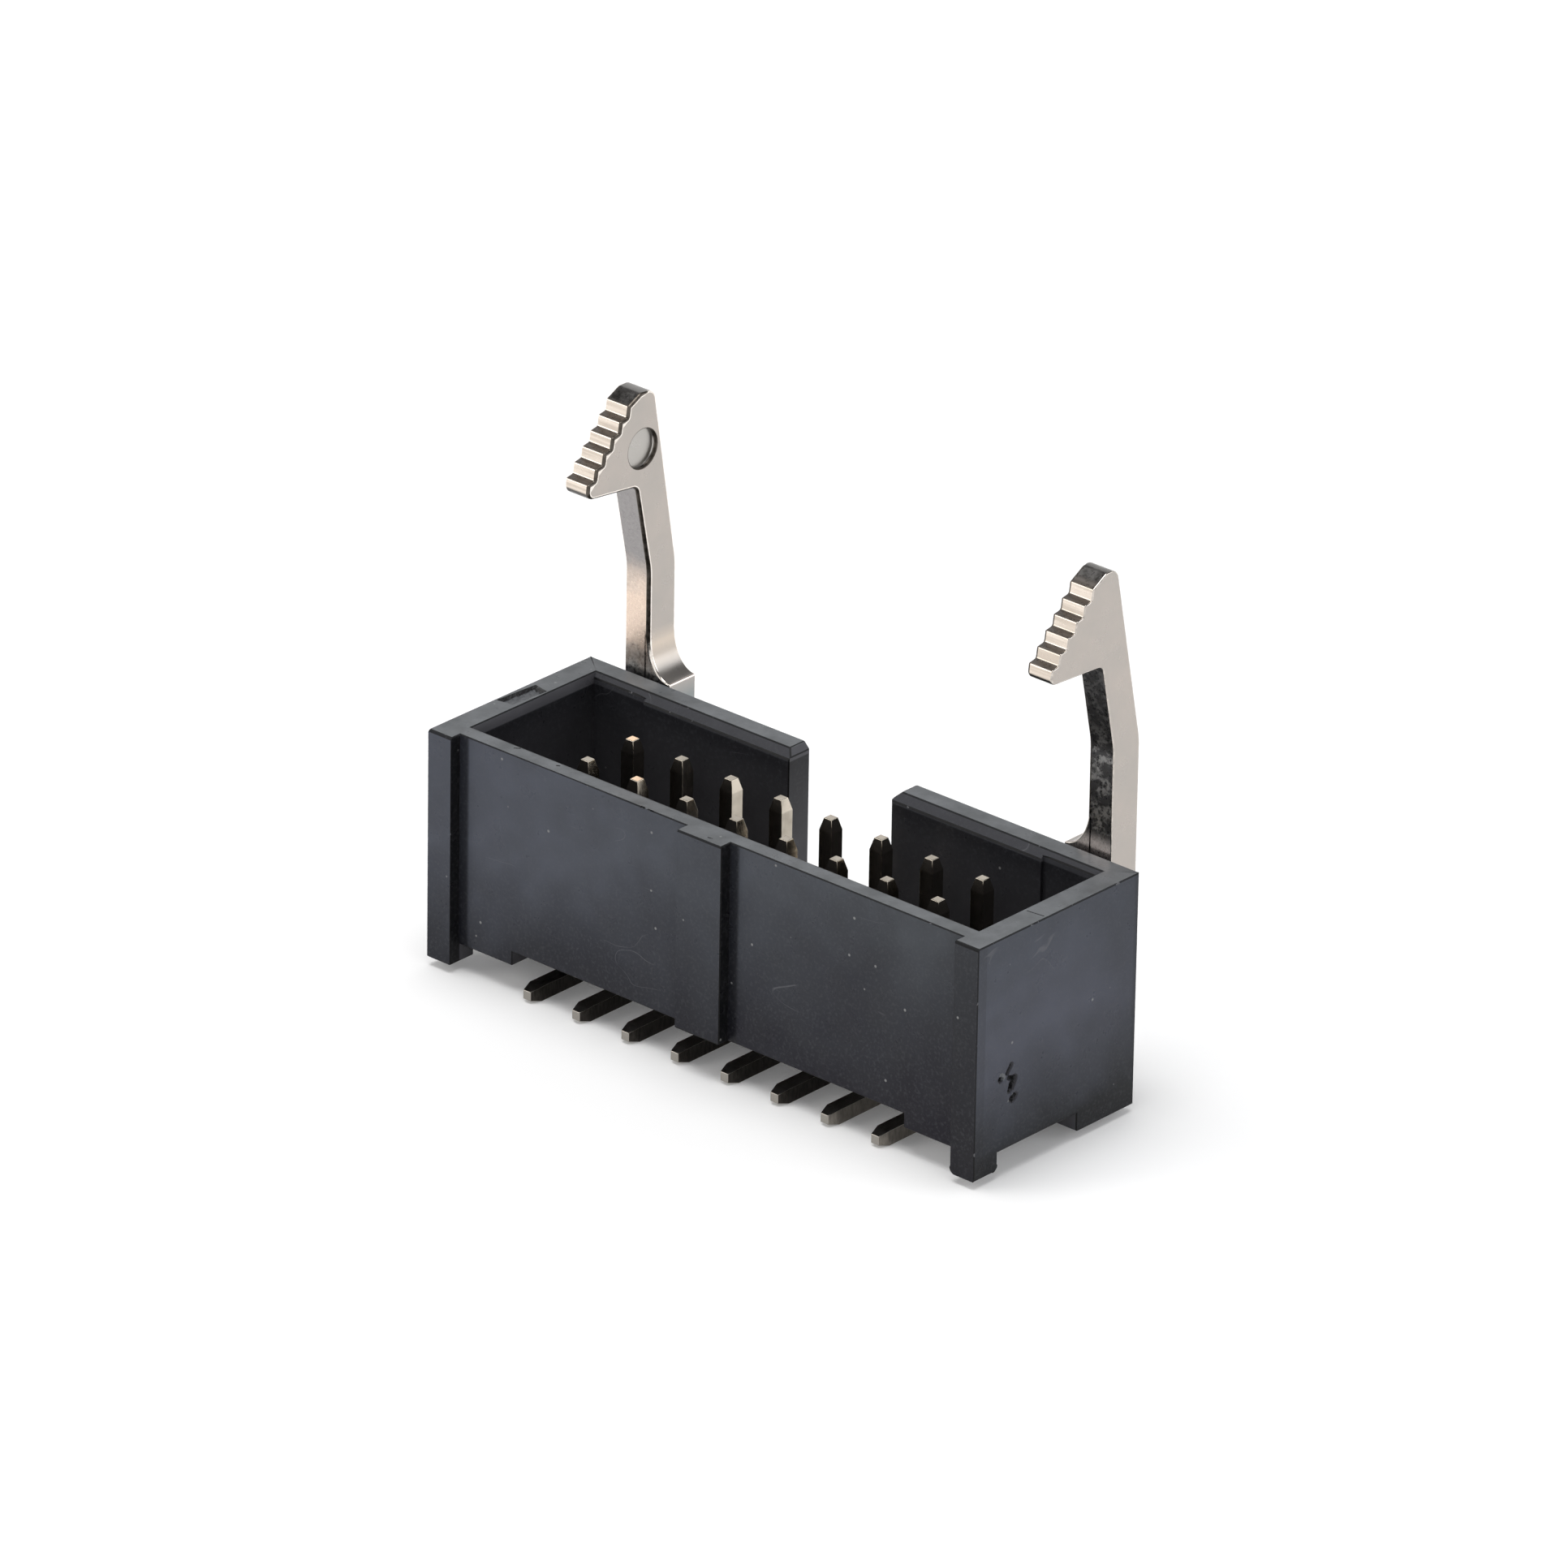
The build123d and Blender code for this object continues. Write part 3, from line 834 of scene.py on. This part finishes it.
def foot(mesh):
    """Wide foot on the inner side, with its hollow curve up to the blade."""
    steps, hollow_edge, plain_edge, back_edge = 16, 0.17, 0.06, 0.05
    root = INNER + 0.20
    x0, z0 = INNER - FOOT_OUT, FOOT_TOP + FOOT_RISE
    corners = [(root, z0 + 0.45, 0, 0.0, 0.0), (INNER + 0.025, z0 + 0.35, 0, hollow_edge, back_edge)]
    for k in range(steps + 1):
        angle = math.radians(3 + 81.5 * k / steps)
        x, z = x0 + FOOT_OUT * math.cos(angle), z0 - FOOT_RISE * math.sin(angle)
        corners.append((x, z, 0, hollow_edge + (plain_edge - hollow_edge) * k / steps, back_edge))
    corners += [
        (x0, FOOT_TOP, 0.09, plain_edge, back_edge),
        (x0, FOOT_TOP - FOOT_HEIGHT, 0.10, plain_edge, back_edge),
        (root, FOOT_TOP - FOOT_HEIGHT, 0, 0.0, 0.0),
    ]
    rounded_prism(mesh, corners, ARM_FRONT, ARM_BACK - 0.004, lambda p, y: (p.x, y, p.y), wide=0.30)
    swapped = {NARROW: FLATS, FLATS: NARROW}
    mesh.slots = [swapped.get(slot, slot) for slot in mesh.slots]


def build_lever(side, materials, teeth_shift=(0.0, 0.0), top_shift=0.0, back_shift=0.0, lip_round=0.28):
    """One casting; the shifts are the small differences between the two levers' heads."""
    mesh, foot_mesh = Mesher(), Mesher()
    mark_drop, mark_forward = 2.31, 0.15
    mark_z = TOP - mark_drop
    mark_y = lean((ARM_FRONT + ARM_BACK) / 2, mark_z) - mark_forward
    inner = [mark_recess(mesh, mark_y, mark_z), circle(mesh, INNER, PIVOT_Y, PIVOT_Z, BORE)]
    outer = [circle(mesh, OUTER, PIVOT_Y, PIVOT_Z, BORE)]
    mesh.band(inner[1], outer[0], NARROW)
    corners = lever_corners(teeth_shift, top_shift, back_shift, lip_round)
    rounded_prism(mesh, corners, INNER, OUTER, lambda p, x: (x, p.x, p.y), inner, outer)
    foot(foot_mesh)
    mirror = side == "left"
    obj = mesh.object(f"lever_{side}_casting", materials, mirror)
    join(obj, foot_mesh.object(f"lever_{side}_foot", materials, mirror))
    finish_piece(obj, f"lever_{side}", f"{side}_latch", edge_slots={BROAD_EDGE, GLINT})


# Scars on the housing: each gate mark is a hole cut in the face and a heightfield of torn plastic that fills
# it, and each nick is a cut along the rim

# Pits of the gate mark as (start, end, radius, depth), with (y, z) places on the right end wall
PITS = [
    ((-2.73, 4.54), (-2.95, 4.25), 0.04, 0.20),
    ((-2.46, 3.93), (-2.88, 4.02), 0.03, 0.26),
    ((-2.58, 3.88), (-2.72, 3.58), 0.13, 0.30),
    ((-3.36, 4.12), (-3.33, 4.10), 0.06, 0.20),
    ((-2.83, 3.47), (-2.80, 3.49), 0.05, 0.16),
    ((-2.52, 3.18), (-2.47, 3.14), 0.07, 0.22),
    ((-2.68, 3.09), (-2.62, 3.04), 0.08, 0.22),
]
FLAKE = (-3.30, 4.26), (-3.18, 4.16)

RIGHT, UP, AHEAD = (1, 0, 0), (0, 0, 1), (0, -0.7, 0.7)
# Nicks along the rim as (start, end, outward direction, width, depth), with (x, y) places
NICKS = [
    ((13.00, -1.01), (13.86, -0.91), UP, 0.07, 0.06),
    ((-3.48, -4.24), (-3.22, -4.25), AHEAD, 0.16, 0.09),
    ((-3.12, -4.24), (-2.78, -4.25), AHEAD, 0.12, 0.08),
    ((-7.62, -4.25), (-7.46, -4.25), AHEAD, 0.10, 0.05),
    ((-8.22, -3.80), (-8.06, -3.72), UP, 0.10, 0.07),
    ((0.18, -4.52), (0.42, -4.47), UP, 0.09, 0.06),
    ((-10.45, -3.78), (-10.20, -3.60), UP, 0.14, 0.04),
]


def distance(p, ends):
    """Distance of a point from a short line."""
    a, b = (Vector(end) for end in ends)
    return (p - near_point(p, a, b)).length


def step_down(reach, radius, soft):
    """1 inside the radius, falling to 0 over the soft width."""
    return min(1.0, max(0.0, (radius + soft - reach) / soft))


def crater_height(y, z):
    """How far the gate mark stands out of the wall: raised lips round its pits, and one loose flake."""
    p = Vector((y, z))
    height = 0.0
    for *ends, radius, depth in PITS:
        reach = distance(p, ends)
        height += 0.020 * max(0.0, 1 - abs(reach - radius - 0.10) / 0.10)
        height = min(height, height * 0.3 - depth * step_down(reach, radius, 0.07))
    height += 0.03 * step_down(distance(p, FLAKE), 0.03, 0.08)
    return height + 0.006 * noise.noise(Vector((y * 7, z * 7, 0)))


def crater_patch(mesh):
    """Gate mark on the right end wall, torn in its pits, which are near black with painted shade, and pale on
    its lips; gives its outline.
    """
    (y0, z0), wide, tall, rings, sectors = (-2.88, 3.80), 0.78, 1.02, 30, 84
    fade_share, lip, pit = 0.12, 0.008, -0.02
    turns = [2 * math.pi * i / sectors for i in range(sectors)]
    grid = []
    for k in range(1, rings + 1):
        share = k / rings
        fade = min(1.0, (1 - share) / fade_share)
        ring = []
        for t in turns:
            y, z = y0 + wide * share * math.cos(t), z0 + tall * share * math.sin(t)
            ring.append(mesh.vertex((END_FACE + crater_height(y, z) * fade, y, z)))
        grid.append(ring)
    centre = mesh.vertex((END_FACE + crater_height(y0, z0), y0, z0))
    mesh.band([centre] * sectors, grid[0], TORN)
    for a, b in zip(grid, grid[1:]):
        mesh.band(a, b, TORN)
    for n, face in enumerate(mesh.faces):
        highest = max(mesh.points[v][X] for v in face) - END_FACE
        # Faces deep in the pits take the near black torn plastic: painted shade.
        mesh.slots[n] = TORN_RIM if highest > lip else FACES if highest > pit else TORN
    return [(END_FACE, y0 + wide * math.cos(t), z0 + tall * math.sin(t)) for t in turns]


def pocket_patch(mesh):
    """Sunk gate scar on the left rim, with a painted shadow round three of its sides; gives its outline."""
    near_out, near_in = Vector((-13.85, -1.06)), Vector((-13.12, -0.93))
    far_in, far_out = Vector((-12.96, 0.85)), Vector((-13.70, 1.00))
    across, along = 16, 40
    grid = []
    for j in range(along + 1):
        v = j / along
        row = []
        for i in range(across + 1):
            u = i / across
            p = near_out.lerp(far_out, v).lerp(near_in.lerp(far_in, v), u)
            edge = min(1.0, u / 0.04, (1 - u) / 0.08, v / 0.03, (1 - v) / 0.05)
            depth = 0.10 + 0.06 * (1 - u) ** 1.5 + 0.08 * math.exp(-((1 - u) / 0.16) ** 2)
            depth += 0.26 * math.exp(-(v / 0.08) ** 2 - (u / 0.5) ** 2) + 0.12 * math.exp(-(v / 0.04) ** 2)
            depth += 0.06 * noise.noise(Vector((p.x * 3.5, p.y * 3.5, 1.7)))
            row.append(mesh.vertex((p.x, p.y, RIM - max(depth, 0.0) * edge)))
        grid.append(row)
    for j, (a, b) in enumerate(zip(grid, grid[1:])):
        for i in range(across):
            width = 1.5 + 1.4 * noise.noise(Vector((i * 0.35, j * 0.35, 5.1)))
            # Painted shadow: the near black torn plastic round three sides of the scar.
            dark = min(i, j / 2, (along - 1 - j) / 2) < width
            mesh.face([a[i], a[i + 1], b[i + 1], b[i]], TORN if dark else TORN_RIM)
    outline = []
    for start, end, parts in ((near_out, near_in, across), (near_in, far_in, along),
                              (far_in, far_out, across), (far_out, near_out, along)):
        outline += [start.lerp(end, k / parts) for k in range(parts)]
    return [(p.x, p.y, RIM) for p in outline]


def prism_cutter(mesh, outline, out, depth):
    """Cutter that stands on an outline and reaches a little out of the face and depth into it."""
    out = Vector(out)
    top = [mesh.vertex(Vector(p) + out * 0.3) for p in outline]
    low = [mesh.vertex(Vector(p) - out * depth) for p in outline]
    mesh.band(top, low, TORN)
    mesh.cap(top, [], TORN)
    mesh.cap(low, [], TORN)


def wedge_cutter(mesh, start, end, out, width, depth):
    """V-shaped cut along a line on the rim, slanted at both ends."""
    a, b, out = Vector((*start, RIM)), Vector((*end, RIM)), Vector(out)
    side = (b - a).cross(out).normalized() * width / 2
    slant = (b - a) * 0.15
    top = [mesh.vertex(p + out * 0.02) for p in (a - side, a + side, b + side, b - side)]
    low = [mesh.vertex(a + slant - out * depth), mesh.vertex(b - slant - out * depth)]
    mesh.face(top, TORN)
    mesh.face([top[1], top[0], low[0]], TORN)
    mesh.face([top[3], top[2], low[1]], TORN)
    mesh.face([top[0], top[3], low[1], low[0]], TORN)
    mesh.face([top[2], top[1], low[0], low[1]], TORN)


def housing_edge(a, b):
    """Share of the rounding's width on an edge of the housing: none on its short edges and shallow steps."""
    short = 0.28
    relief_step = abs(abs(a.x) - RELIEF_STEP) < 0.02 and abs(a.x - b.x) < 0.01
    if (a - b).length < short or relief_step:
        return 0.0
    on_rib = max(a.y, b.y) < RIB_FACE + 0.09
    if on_rib and min(a.z, b.z) > RIM - 0.1:
        return 1.0
    if on_rib and min(abs(a.x), abs(b.x)) > END_FACE - 0.05:
        return 0.55
    return 0.45


def build_housing(materials):
    obj = copy_of("housing", "housing_moulding", materials)
    scars, cutter = Mesher(), Mesher()
    prism_cutter(cutter, crater_patch(scars), RIGHT, depth=0.55)
    prism_cutter(cutter, pocket_patch(scars), UP, depth=0.60)
    for nick in NICKS:
        wedge_cutter(cutter, *nick)
    tool = cutter.object("scar_cutter", materials)
    cut = obj.modifiers.new("scars", "BOOLEAN")
    cut.operation, cut.solver, cut.object = "DIFFERENCE", "EXACT", tool
    cut.use_self = True
    apply_modifiers(obj)
    bpy.data.objects.remove(tool)
    round_edges(obj, width=0.10, segments=1, weight=housing_edge)
    join(obj, scars.object("scars", materials))
    finish_piece(obj, "housing", "header", flat_slots={EDGES})


# Contacts and pins

def build_contacts(plate, tail_shade):
    for node in sorted(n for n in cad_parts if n.startswith("contact_")):
        obj = copy_of(node, f"{node}_plated", [plate, plate, tail_shade])
        round_edges(obj, width=0.022, segments=2)
        for face in obj.data.polygons:
            # Painted shade goes on the tails' cut sides.
            tail_side = abs(face.normal.x) > 0.9 and face.center.z < TAIL_TOP
            if face.material_index != EDGES and tail_side:
                face.material_index = SHADED_SIDES
        finish_piece(obj, node, "header", edge_slots={EDGES})


def build_pins(material):
    for side in ("left", "right"):
        node = f"pivot_pin_{side}"
        obj = copy_of(node, f"{node}_drawn", [material, material])
        round_edges(obj, width=0.03, segments=2)
        finish_piece(obj, node, "header", edge_slots={EDGES})


# Stage

def make_floor():
    """White floor: what the camera and reflections see is lifted a little, and keeps the shadow."""
    half, lift = 2.5, 0.07
    corners = [(-half, -half, 0), (half, -half, 0), (half, half, 0), (-half, half, 0)]
    mesh = bpy.data.meshes.new("floor")
    mesh.from_pydata(corners, [], [(0, 1, 2, 3)])
    s = Shader("white_floor", Base_Color=(0.94, 0.94, 0.94, 1), Roughness=0.9, Specular_IOR_Level=0.0)
    rays = s.tree.nodes.new("ShaderNodeLightPath")
    seen = s.either(rays.outputs["Is Camera Ray"], rays.outputs["Is Glossy Ray"])
    seen = s.either(seen, rays.outputs["Is Transmission Ray"])
    s.principled.inputs["Emission Color"].default_value = (1, 1, 1, 1)
    s.link(s.times(seen, lift), s.principled.inputs["Emission Strength"])
    mesh.materials.append(s.material)
    new_object("floor", mesh)


def make_lamp(name, place, size, watts, tint=(1, 1, 1)):
    """Soft rectangular lamp that looks at the middle of the part."""
    data = bpy.data.lights.new(name, "AREA")
    data.shape = "RECTANGLE"
    data.size, data.size_y = size
    data.energy = watts
    data.color = tint
    lamp = new_object(name, data)
    place, target = Vector(place), Vector((0, 0, 0.008))
    lamp.location = place
    lamp.rotation_mode = "QUATERNION"
    lamp.rotation_quaternion = (target - place).to_track_quat("-Z", "Y")
    lamp.visible_camera = False


def make_light():
    """A white band up to 30 degrees above the floor all round, a dim ceiling, and three soft lamps."""
    world = bpy.data.worlds.new("studio")
    bpy.context.scene.world = world
    world.use_nodes = True
    tree = world.node_tree
    coords = tree.nodes.new("ShaderNodeTexCoord")
    split = tree.nodes.new("ShaderNodeSeparateXYZ")
    ramp = tree.nodes.new("ShaderNodeValToRGB")
    band, ceiling = ramp.color_ramp.elements
    band.position, band.color = 0.50, (1.0, 1.0, 1.0, 1)
    ceiling.position, ceiling.color = 0.64, (0.16, 0.16, 0.165, 1)
    tree.links.new(coords.outputs["Generated"], split.inputs[0])
    tree.links.new(split.outputs[Z], ramp.inputs[0])
    tree.links.new(ramp.outputs[0], tree.nodes["Background"].inputs["Color"])
    make_lamp("overhead", (-0.05, -0.05, 0.95), (0.60, 0.60), 6.2)
    make_lamp("left_front", (-0.70, -0.70, 0.45), (0.50, 0.60), 2.4, (1.0, 0.97, 0.93))
    make_lamp("right_back", (0.80, 0.60, 0.45), (0.50, 0.60), 1.6, (0.93, 0.96, 1.0))


make_camera()
build_housing([
    moulded_plastic("moulded_plastic", (0.26, 0.36)),
    # The housing's rounded edges: painted shade, near black, with pale chips.
    moulded_plastic("moulded_edge", (0.40, 0.50), shade=0.86, chips=0.7),
    # Near black torn plastic: painted shade in the pits and round the sunk scar.
    torn_plastic("torn_plastic", (0.006, 0.006, 0.007), (0.085, 0.088, 0.092), (0.45, 0.72)),
    torn_plastic("torn_rim", (0.050, 0.053, 0.057), (0.108, 0.114, 0.122), (0.30, 0.58)),
])
# Painted shade on the levers' broad rounded edges.
edge_shade = cast_edge("cast_edge", ((0.065, 0.056, 0.047), (0.135, 0.118, 0.102)), (0.30, 0.42))
# Painted highlight on the narrow edges and along the broad ones, dimmer on the right lever.
glint = cast_edge("cast_glint", ((0.80, 0.73, 0.66), (0.95, 0.90, 0.84)), (0.14, 0.22),
                  right=((0.40, 0.37, 0.34), (0.62, 0.57, 0.52)))
casting = [cast_flat(), cast_front(), edge_shade, glint]
build_lever("left", casting, back_shift=0.22, lip_round=0.36)
build_lever("right", casting, teeth_shift=(-0.17, -0.17), top_shift=-0.08)
build_contacts(tin_plate(), tail_side_shade())
build_pins(drawn_steel())
make_floor()
make_light()

bpy.context.scene.view_settings.view_transform = "Standard"
